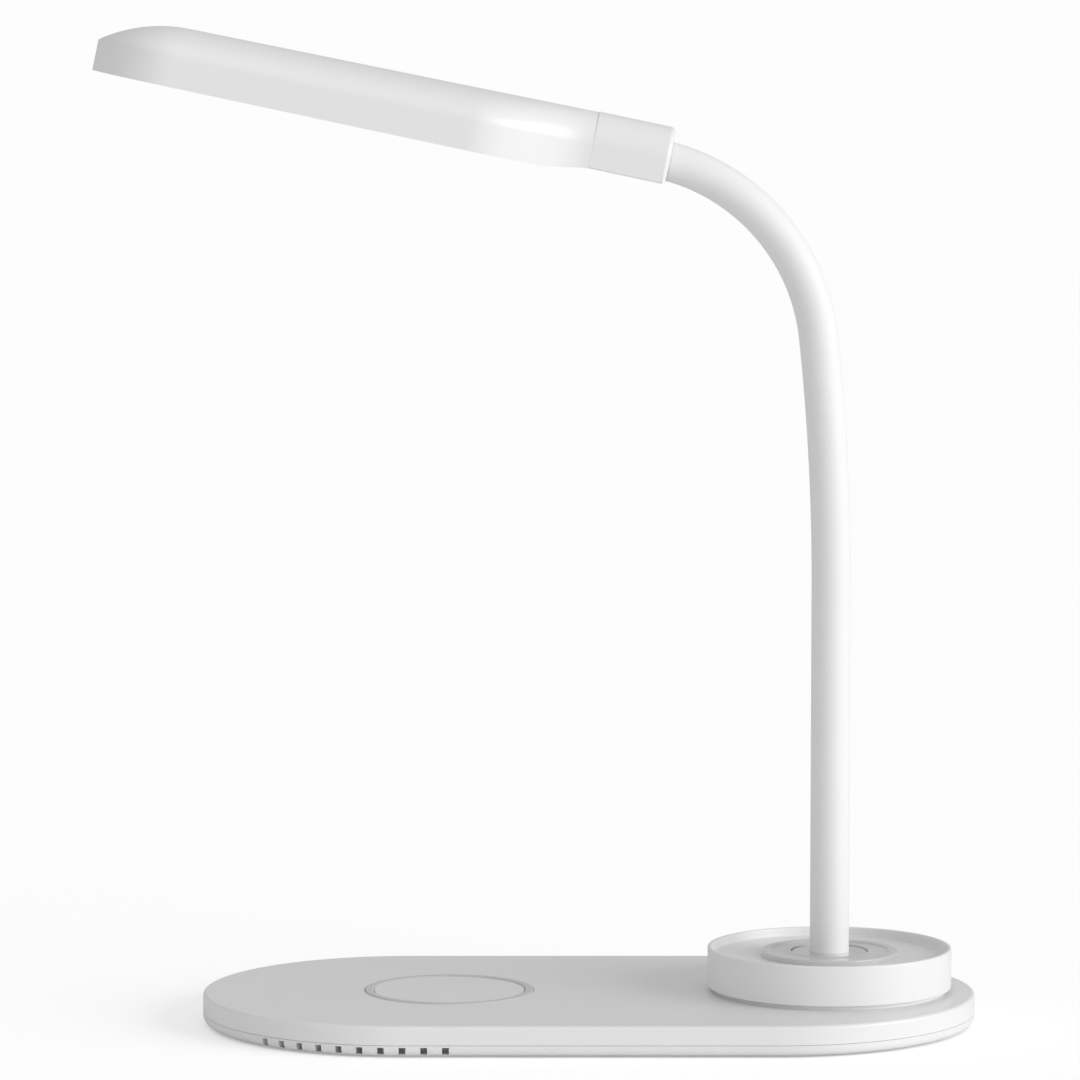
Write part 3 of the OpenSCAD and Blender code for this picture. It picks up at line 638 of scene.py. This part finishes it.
class HeadForm:
    """Form of the light head, in millimetres, as the frame has it."""

    half = 21.0  # half the head's width
    collar_half = 9.0  # half the collar's width
    height = 17.38  # at the collar
    taper = 1.5  # what the height loses over the length
    side = 8.0  # height at which the upright wall turns into the dome
    rise = 2.0  # height of the collar's underside above the window's frame
    collar = 21.0  # length of the collar
    shoulder_end = 54.0  # run at which the full width is reached
    opening = 35.4  # run at which the frame begins
    nose = 21.3  # length of the rounded end
    fall_length = 23.3  # length over which the top falls
    fall_drop = 7.5  # how far it falls
    tip_half = 2.0  # half the flat at the very tip
    entry = 8.1  # height at which the neck goes in
    gap = 1.4  # from the neck's end to the collar's mouth
    entry_turn = math.radians(4.5)  # the neck's slope against the head's

    def __init__(self, sizes):
        self.length = sizes.head_length / MM
        self.nose_start = self.length - self.nose
        self.fall_start = self.length - self.fall_length
        self.fall_radius = (self.fall_length**2 + self.fall_drop**2) / (2 * self.fall_drop)
        t = sizes.head_tilt
        self.along = Vector((-math.cos(t), 0, math.sin(t)))
        self.up = Vector((math.sin(t), 0, math.cos(t)))
        mouth = neck_place(neck_length())[0]
        origin = mouth + self.along * (self.gap * MM) - self.up * (self.entry * MM)
        self.matrix = Matrix.Identity(4)
        for column, axis in enumerate((self.along, Vector((0, -1, 0)), self.up, origin)):
            for row in range(3):
                self.matrix[row][column] = axis[row]

    def half_width(self, u):
        if u > self.nose_start:
            return max(self.tip_half, self.half * math.sqrt(max(0, 1 - ((u - self.nose_start) / self.nose) ** 2)))
        return self.collar_half + (self.half - self.collar_half) * smooth_step(u, self.collar, self.shoulder_end)

    def top(self, u):
        fallen = u - self.fall_start
        drop = self.fall_radius - math.sqrt(self.fall_radius**2 - fallen**2) if fallen > 0 else 0
        return self.height - self.taper * u / self.length - drop

    def under(self, u):
        return self.rise * (1 - smooth_step(u, self.collar - 2, self.opening))

    def section(self, u, steps):
        """Points of the shell from one lower edge over the dome to the other."""
        w, base = self.half_width(u), self.under(u)
        crown = max(0.1, self.top(u) - self.side)
        wall = [(w, base), (w, (base + self.side) / 2)]
        dome = [
            (w * math.cos(math.pi * i / steps), self.side + crown * math.sin(math.pi * i / steps))
            for i in range(steps + 1)
        ]
        return wall + dome + [(-y, v) for y, v in reversed(wall)]


# --- The neck's centre line ---

UPRIGHT_LINKS, SLOW_LINKS, QUICK_LINKS = 4, 3, 3
FOOT = 12.9 * MM  # from the skin's lower end to the first hinge
UPRIGHT = 21.9 * MM * UPRIGHT_LINKS
SLOW_RADIUS, SLOW_ANGLE = 620 * MM, math.radians(6.3)
QUICK_RADIUS, QUICK_ANGLE = 55 * MM, math.radians(67.2)
STRAIGHT_ON = 1.0
SLOW, QUICK = SLOW_RADIUS * SLOW_ANGLE, QUICK_RADIUS * QUICK_ANGLE


def neck_length():
    return FOOT + UPRIGHT + SLOW + QUICK


def neck_stretches():
    """Stretches of the neck from its foot, with a straight one beyond its end: (length, bend radius or None)."""
    return [(FOOT + UPRIGHT, None), (SLOW, SLOW_RADIUS), (QUICK, QUICK_RADIUS), (STRAIGHT_ON, None)]


def neck_place(run):
    """Point and lean of the neck's centre line after a run from its foot."""
    at = JOINT_AT[HINGES[0]] - Vector((0, 0, FOOT))
    lean = 0.0
    for length, radius in neck_stretches():
        part = min(run, length)
        run -= part
        if radius is None:
            at = at + Vector((-math.sin(lean), 0, math.cos(lean))) * part
        else:
            after = lean + part / radius
            across, up = math.cos(after) - math.cos(lean), math.sin(after) - math.sin(lean)
            at = at + Vector((across, 0, up)) * radius
            lean = after
        if run <= 1e-9:
            break
    return at, lean


def hinge_runs():
    """Runs along the neck at which the hinges are."""
    runs = [FOOT + i * UPRIGHT / UPRIGHT_LINKS for i in range(UPRIGHT_LINKS + 1)]
    runs += [FOOT + UPRIGHT + SLOW * i / SLOW_LINKS for i in range(1, SLOW_LINKS + 1)]
    return runs + [FOOT + UPRIGHT + SLOW + QUICK * i / QUICK_LINKS for i in range(1, QUICK_LINKS)]


# --- Pieces ---


class LampPiece:
    """What the lamp's piece makers share."""

    bl_options = {"REGISTER", "UNDO"}

    def execute(self, context):
        self.make(context.scene.lamp_sizes, context.scene.lamp_colours)
        return {"FINISHED"}


def finish_nodes(finish, *nodes):
    """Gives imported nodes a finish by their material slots."""
    for name in nodes:
        node = frame["nodes"][name]
        if not node.material_slots:
            raise RuntimeError(f"{name} has no material slot")
        for slot in node.material_slots:
            slot.material = finish


class LAMP_OT_turret(LampPiece, bpy.types.Operator):
    """Round turret with a dished top, hollow below, with softened rims"""

    bl_idname = "lamp.turret"
    bl_label = "Turret"

    hole = 6.15 * MM
    wall = 2 * MM
    dish_wall = 1.6 * MM
    rim_inner_edge = 0.35 * MM
    dish_edge = 0.7 * MM
    foot_edge = 0.25 * MM

    def make(self, sizes, colours):
        piece, centre, reach = disc("turret", "turret_shell", 144)
        foot, rim = low("turret_shell").z, high("turret_shell").z
        dish = rim - sizes.dish_depth
        under = dish - self.dish_wall
        inner = reach - sizes.turret_rim
        pick("FACE", faces_at(rim, 1))
        inset(sizes.turret_rim)
        extrude(z=-sizes.dish_depth)
        inset(inner - self.hole)
        pick("FACE", faces_at(foot, -1))
        inset(self.wall)
        extrude(z=under - foot)
        inset(reach - self.wall - self.hole)
        pierce(self.hole)
        for z, radius, edge, segments in (
            (rim, reach, sizes.turret_edge, 5),
            (rim, inner, self.rim_inner_edge, 4),
            (dish, inner, self.dish_edge, 5),
            (foot, reach, self.foot_edge, 3),
        ):
            pick("EDGE", ring_edges(z, radius, centre=centre.xy))
            soften(edge, segments)
        outward(piece)
        settle(piece)
        dress(piece, moulded_gloss(colours.plastic))
        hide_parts("turret_shell")
        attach(piece, "base")


class LAMP_OT_touch_ring(LampPiece, bpy.types.Operator):
    """Raised touch ring with a shallow finger groove and soft edges"""

    bl_idname = "lamp.touch_ring"
    bl_label = "Touch ring"

    hole = 10.5 * MM
    outer_land = 2.2 * MM
    inner_land = 1 * MM
    slope = 0.5 * MM
    groove_depth = 0.35 * MM
    groove_rise = 0.3 * MM
    outer_edge = 0.45 * MM
    inner_edge = 0.2 * MM

    def on_inner_rim(self, point, centre):
        return near((point - centre).xy.length, self.hole, 1e-4) and point.z > centre.z

    def make(self, sizes, colours):
        piece, centre, reach = disc("touch_cap", "touch_ring", 128)
        top, foot = high("touch_ring").z, low("touch_ring").z
        groove = reach - self.outer_land - 2 * self.slope - self.inner_land - self.hole
        pick("FACE", faces_at(top, 1))
        inset(self.outer_land)
        inset(self.slope)
        move(z=-self.groove_depth)
        inset(groove)
        inset(self.slope)
        move(z=self.groove_rise)
        inset(self.inner_land)
        pick("FACE", faces_at(foot, -1))
        inset(reach - self.hole)
        pierce(self.hole)
        pick("EDGE", ring_edges(top, reach, centre=centre.xy))
        soften(self.outer_edge, 5)
        pick("EDGE", lambda e: all(self.on_inner_rim(v.co, centre) for v in e.verts))
        soften(self.inner_edge, 3)
        outward(piece)
        settle(piece)
        dress(piece, touch_gloss(colours.touch, centre))
        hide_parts("touch_ring")
        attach(piece, "base")


class LAMP_OT_grip_ring(LampPiece, bpy.types.Operator):
    """Thin rubber ring on the charging place, with a rounded crown"""

    bl_idname = "lamp.grip_ring"
    bl_label = "Grip ring"

    width = 2.4 * MM
    crown_edge = 0.4 * MM

    def make(self, sizes, colours):
        piece, centre, reach = disc("grip_ring_round", "grip_ring", 112)
        top, foot = high("grip_ring").z, low("grip_ring").z
        for z, up in ((top, 1), (foot, -1)):
            pick("FACE", faces_at(z, up))
            inset(self.width)
        pierce()
        for radius in (reach, reach - self.width):
            pick("EDGE", ring_edges(top, radius, centre=centre.xy))
            soften(self.crown_edge, 4)
        outward(piece)
        settle(piece)
        dress(piece, grip_rubber())
        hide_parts("grip_ring")
        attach(piece, "base")


class LAMP_OT_neck(LampPiece, bpy.types.Operator):
    """Smooth silicone skin of the neck, in lengths that meet halfway between the hinges"""

    bl_idname = "lamp.neck"
    bl_label = "Neck skin"

    ring_spacing = 1.1 * MM
    bend_margin = 0.15 * MM
    into_collar = 8 * MM

    def sweep(self, name, start, end, sizes):
        """A tube along the neck's centre line from one run to another."""
        at, lean = neck_place(start)
        piece = fresh(
            name,
            "circle",
            vertices=56,
            radius=sizes.neck_radius,
            location=at,
            rotation=(0, -lean, 0),
            fill_type="NOTHING",
        )
        begin(piece)
        bpy.ops.mesh.select_all(action="SELECT")
        begins = 0.0
        for length, radius in neck_stretches():
            first, last = max(start, begins), min(end, begins + length)
            begins += length
            if last - first < 1e-7:
                continue
            at, lean = neck_place(first)
            steps = max(1, round((last - first) / self.ring_spacing))
            if radius is None:
                run = Vector((-math.sin(lean), 0, math.cos(lean))) * ((last - first) / steps)
                for _ in range(steps):
                    extrude(*run)
            else:
                hub = at - Vector((math.cos(lean), 0, math.sin(lean))) * radius
                bpy.ops.mesh.spin(steps=steps, angle=(last - first) / radius, center=hub, axis=(0, 1, 0))
        object_mode()
        outward(piece)
        modify(piece, "SOLIDIFY", thickness=sizes.neck_wall, offset=-1, use_even_offset=True)
        settle(piece, 40, weighted=False)
        return piece

    def bend_reach(self, start, hinge, end, radius):
        """How far from its hinge a length of skin can bend and still meet its neighbours."""
        turned = neck_place(end)[1] - neck_place(start)[1]
        return min(hinge - start, end - hinge) - radius * math.sin(turned / 2) - self.bend_margin

    def make(self, sizes, colours):
        skin = silicone_skin(colours.silicone)
        hinges = hinge_runs()
        ends = [0.0] + [(a + b) / 2 for a, b in zip(hinges, hinges[1:])] + [neck_length() + self.into_collar]
        for i, (hinge, start, end) in enumerate(zip(hinges, ends, ends[1:])):
            piece = self.sweep(f"neck_skin_{i + 1}", start, end, sizes)
            dress(piece, skin)
            reach = self.bend_reach(start, hinge, end, sizes.neck_radius)
            before, after = (neck_place(hinge + side * reach)[0] for side in (-1, 1))
            if LINKS[i + 1] in ("link_5", "head"):  # both branches bake the length in place alike
                LINKS[i + 1]
                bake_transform(piece)
            else:
                LINKS[i + 1]
                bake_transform(piece)
            covered = [f"neck_sleeve_{i}"] + (["neck_sleeve_10"] if i == 9 else [])
            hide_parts(*covered)


class LAMP_OT_head_shell(LampPiece, bpy.types.Operator):
    """Domed upper shell of the light head, skinned over its sections"""

    bl_idname = "lamp.head_shell"
    bl_label = "Head shell"

    nose_lead = 4  # length before the nose that has finer sections, in millimetres
    rim_edge = 0.5 * MM

    def below_collar(self, edge, form):
        """Whether an edge runs along the shell's lower rim, ahead of the window's frame."""
        reach, rise = form.opening * MM + 1e-5, (form.rise + 0.1) * MM
        return all(v.co.x < reach and v.co.z < rise for v in edge.verts) and length_in_x(edge) > 1e-6

    def make(self, sizes, colours):
        form = HeadForm(sizes)
        steps = 44
        before_nose = form.nose_start - self.nose_lead
        runs = spread(form.collar, form.shoulder_end, 26)
        runs += spread(form.shoulder_end, before_nose, 22)
        runs += spread(before_nose, form.nose_start, 4)
        tip = math.acos(form.tip_half / form.half)
        runs += [form.nose_start + form.nose * math.sin(turn) for turn in spread(0, tip, 26)] + [form.length]
        points = len(form.section(form.collar, steps))
        piece = fresh("head_dome", "grid", x_subdivisions=len(runs) - 1, y_subdivisions=points - 1, size=1)
        columns = sorted(piece.data.vertices, key=lambda v: (round(v.co.x, 5), round(v.co.y, 5)))
        for i, u in enumerate(runs):
            for vertex, (y, v) in zip(columns[i * points : (i + 1) * points], form.section(u, steps)):
                vertex.co = Vector((u, y, v)) * MM
        shape(piece)
        pick("EDGE", lambda e: e.is_boundary and self.below_collar(e, form))
        bpy.ops.mesh.bridge_edge_loops()
        pick("EDGE", lambda e: e.is_boundary and all(near(v.co.x, form.length * MM) for v in e.verts))
        bpy.ops.mesh.edge_face_add()
        outward(piece)
        modify(piece, "BEVEL", width=self.rim_edge, segments=4, limit_method="ANGLE", angle_limit=math.radians(42))
        modify(piece, "SOLIDIFY", thickness=sizes.head_wall, offset=-1, use_even_offset=True)
        piece.matrix_world = form.matrix
        settle(piece, 38)
        dress(piece, moulded_gloss(colours.plastic))
        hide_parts("head_shell")
        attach(piece, "head")


class LAMP_OT_collar(LampPiece, bpy.types.Operator):
    """Arched collar that takes the neck, with a rounded mouth"""

    bl_idname = "lamp.collar"
    bl_label = "Head collar"

    bores = ((5.35, -8, 10), (5.7, -8, 3.8))  # radius, start and end along the neck's way in, in millimetres
    seam_edge = 0.06 * MM
    lower_edge = 0.4 * MM

    def make(self, sizes, colours):
        form = HeadForm(sizes)
        half, base = form.collar_half * MM, form.rise * MM
        spring = (form.height - form.collar_half) * MM
        piece = fresh(
            "head_collar_arch",
            "circle",
            vertices=96,
            radius=half,
            location=(0, 0, spring),
            rotation=(0, math.pi / 2, 0),
        )
        begin(piece)
        bpy.ops.mesh.select_all(action="SELECT")
        bpy.ops.mesh.bisect(plane_co=(0, 0, spring), plane_no=(0, 0, 1), clear_inner=True)
        pick("VERT", lambda v: near(v.co.z, spring))
        extrude(z=base - spring)
        bpy.ops.mesh.select_all(action="SELECT")
        bpy.ops.mesh.edge_face_add()
        bpy.ops.mesh.select_all(action="SELECT")
        extrude(x=form.collar * MM)
        pick("EDGE", lambda e: all(near(v.co.x, 0) for v in e.verts))
        soften(sizes.mouth_edge, 6)
        pick("EDGE", lambda e: all(near(v.co.x, form.collar * MM) for v in e.verts))
        soften(self.seam_edge, 2)
        pick("EDGE", lambda e: all(near(v.co.z, base) for v in e.verts) and length_in_x(e) > 5 * MM)
        soften(self.lower_edge, 4)
        outward(piece)
        turn = form.entry_turn
        way = Vector((math.cos(turn), 0, math.sin(turn)))
        mouth = Vector((-form.gap, 0, form.entry)) * MM
        for radius, start, end in self.bores:
            tool = fresh(
                "bore",
                "cylinder",
                vertices=72,
                radius=radius * MM,
                depth=(end - start) * MM,
                location=mouth + way * ((start + end) / 2 * MM),
                rotation=(0, math.pi / 2 - turn, 0),
            )
            cut(piece, tool)
        piece.matrix_world = form.matrix
        settle(piece, 35)
        dress(piece, moulded_gloss(colours.plastic))
        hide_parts("head_collar")
        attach(piece, "head")


class LAMP_OT_base_shells(LampPiece, bpy.types.Operator):
    """Finishes of the two covers"""

    bl_idname = "lamp.base_shells"
    bl_label = "Base covers"

    def make(self, sizes, colours):
        finish_nodes(moulded_gloss(colours.plastic), "base_top_cover")
        finish_nodes(moulded_satin(colours.satin), "base_bottom_cover")


class LAMP_OT_fittings(LampPiece, bpy.types.Operator):
    """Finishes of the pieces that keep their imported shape"""

    bl_idname = "lamp.fittings"
    bl_label = "Fittings"

    def make(self, sizes, colours):
        neck_axis = middle("neck_ferrule")
        finish_nodes(moulded_satin(colours.satin), "head_frame")
        finish_nodes(pad_rubber(), "non_slip_pad")
        finish_nodes(dark_rubber(), "collar_bush")
        finish_nodes(zinc_steel(), "cover_screws", "turret_screws", "head_screws", "clamp_screws")
        finish_nodes(zinc_steel("ballast_steel", (0.42, 0.43, 0.44)), "ballast_plate_left", "ballast_plate_right")
        finish_nodes(turned_steel("polished_trim", neck_axis, (0.78, 0.78, 0.79), 0.1), "neck_ferrule")
        finish_nodes(turned_steel("turned_steel", neck_axis), "neck_anchor", "neck_washer", "neck_nut")
        finish_nodes(zinc_steel("inlet_steel", (0.66, 0.66, 0.67)), "power_inlet")
        finish_nodes(hose_metal(), *[f"neck_core_{i}" for i in range(11)])
        finish_nodes(brushed_aluminium(), "heat_spreader", "neck_clamp")
        finish_nodes(circuit_board(), "main_board", "touch_board")
        finish_nodes(lamp_board_white(), "lamp_board")
        finish_nodes(chip_epoxy(), "main_board_parts")
        finish_nodes(wound_copper(middle("charging_coil")), "charging_coil")
        finish_nodes(ferrite_grey(), "ferrite_sheet")
        finish_nodes(opal_window(), "diffuser")
        finish_nodes(phosphor(), "lamps")


# --- Stage ---

CAMERA_AT = Vector((-13.3, -1364, 251.6)) * MM
CAMERA_AIM = Vector((-13.3, 0, 131.6)) * MM
LENS = 168.77
KEY_WAY = Vector((0.86, -0.42, 0.15)).normalized()
FILL_WAY = Vector((-0.5, -0.85, 0.1)).normalized()


class LAMP_OT_stage(LampPiece, bpy.types.Operator):
    """Pale floor and backdrop, two soft lamps and the camera"""

    bl_idname = "lamp.stage"
    bl_label = "Stage"

    def make(self, sizes, colours):
        self.room(colours)
        self.lamps(colours)
        self.floor(colours)
        self.camera()

    def background(self, tree, level):
        made = tree.nodes.new("ShaderNodeBackground")
        made.inputs["Color"].default_value = (1, 1, 1, 1)
        made.inputs["Strength"].default_value = level
        return made.outputs[0]

    def room(self, colours):
        """Light from all round, with a brighter backdrop that only the camera sees."""
        world = bpy.context.scene.world or bpy.data.worlds.new("room")
        bpy.context.scene.world = world
        world.use_nodes = True
        tree = world.node_tree
        tree.nodes.clear()
        rays, seen = tree.nodes.new("ShaderNodeLightPath"), tree.nodes.new("ShaderNodeMath")
        seen.operation = "MAXIMUM"
        tree.links.new(rays.outputs["Is Camera Ray"], seen.inputs[0])
        tree.links.new(rays.outputs["Is Transmission Ray"], seen.inputs[1])
        mixed, out = tree.nodes.new("ShaderNodeMixShader"), tree.nodes.new("ShaderNodeOutputWorld")
        tree.links.new(seen.outputs[0], mixed.inputs[0])
        tree.links.new(self.background(tree, colours.room_light), mixed.inputs[1])
        tree.links.new(self.background(tree, colours.backdrop), mixed.inputs[2])
        tree.links.new(mixed.outputs[0], out.inputs[0])

    def lamps(self, colours):
        for name, way, level, angle in (
            ("key_lamp", KEY_WAY, colours.key_light, 50),
            ("fill_lamp", FILL_WAY, colours.fill_light, 80),
        ):
            bpy.ops.object.light_add(type="SUN", location=way)
            lamp = bpy.context.object
            lamp.name = name
            lamp.data.energy = level
            lamp.data.angle = math.radians(angle)
            lamp.rotation_euler = way.to_track_quat("Z", "Y").to_euler()

    def floor(self, colours):
        """Matt pale floor, lifted to the backdrop's level for the camera alone."""
        piece = fresh("floor", "circle", vertices=96, radius=6, fill_type="NGON")
        f = Finish("floor_paint")
        f.set(Base_Color=f.blend(f.noise(3, 2), (0.93, 0.93, 0.93), (0.95, 0.95, 0.95)))
        f.set(Roughness=0.9, Specular_IOR_Level=0)
        rays = f.node("LightPath")
        seen = f.out(rays, "Is Camera Ray").maths("MAXIMUM", f.out(rays, "Is Transmission Ray"))
        dark = f.node("Emission", Color=(0, 0, 0), Strength=0.0)
        glow = f.node("Emission", Color=(1, 1, 1), Strength=colours.floor_glow)
        gate, both = f.node("MixShader"), f.node("AddShader")
        f.feed(gate.inputs[0], seen)
        f.feed(gate.inputs[1], f.out(dark))
        f.feed(gate.inputs[2], f.out(glow))
        f.feed(both.inputs[0], f.out(f.surface))
        f.feed(both.inputs[1], f.out(gate))
        f.feed(f.output.inputs[0], f.out(both))
        dress(piece, f.material)

    def camera(self):
        data = bpy.data.cameras.new("camera")
        view = bpy.data.objects.new("camera", data)
        bpy.context.scene.collection.objects.link(view)
        data.sensor_width = 36
        data.lens = LENS
        data.clip_start, data.clip_end = 0.05, 50
        view.location = CAMERA_AT
        view.rotation_euler = (CAMERA_AIM - CAMERA_AT).to_track_quat("-Z", "Y").to_euler()
        bpy.context.scene.camera = view
        bpy.context.scene.view_settings.view_transform = "Standard"


class LAMP_PT_panel(bpy.types.Panel):
    bl_label = "Desk Lamp"
    bl_idname = "LAMP_PT_panel"
    bl_space_type = "VIEW_3D"
    bl_region_type = "UI"
    bl_category = "Desk Lamp"

    def draw(self, context):
        for maker in MAKERS:
            self.layout.operator(maker.bl_idname)
        for group in (context.scene.lamp_sizes, context.scene.lamp_colours):
            box = self.layout.box()
            for name in group.__annotations__:
                box.prop(group, name)


MAKERS = (
    LAMP_OT_stage,
    LAMP_OT_base_shells,
    LAMP_OT_grip_ring,
    LAMP_OT_turret,
    LAMP_OT_touch_ring,
    LAMP_OT_neck,
    LAMP_OT_collar,
    LAMP_OT_head_shell,
    LAMP_OT_fittings,
)
CLASSES = (LampSizes, LampColours, *MAKERS, LAMP_PT_panel)


def register():
    for c in CLASSES:
        bpy.utils.register_class(c)
    bpy.types.Scene.lamp_sizes = bpy.props.PointerProperty(type=LampSizes)
    bpy.types.Scene.lamp_colours = bpy.props.PointerProperty(type=LampColours)


def unregister():
    del bpy.types.Scene.lamp_colours
    del bpy.types.Scene.lamp_sizes
    for c in reversed(CLASSES):
        bpy.utils.unregister_class(c)


def main():
    register()
    for maker in MAKERS:
        group, name = maker.bl_idname.split(".")
        getattr(getattr(bpy.ops, group), name)()
    object_mode()
    bpy.context.view_layer.update()


if __name__ == "__main__":
    main()
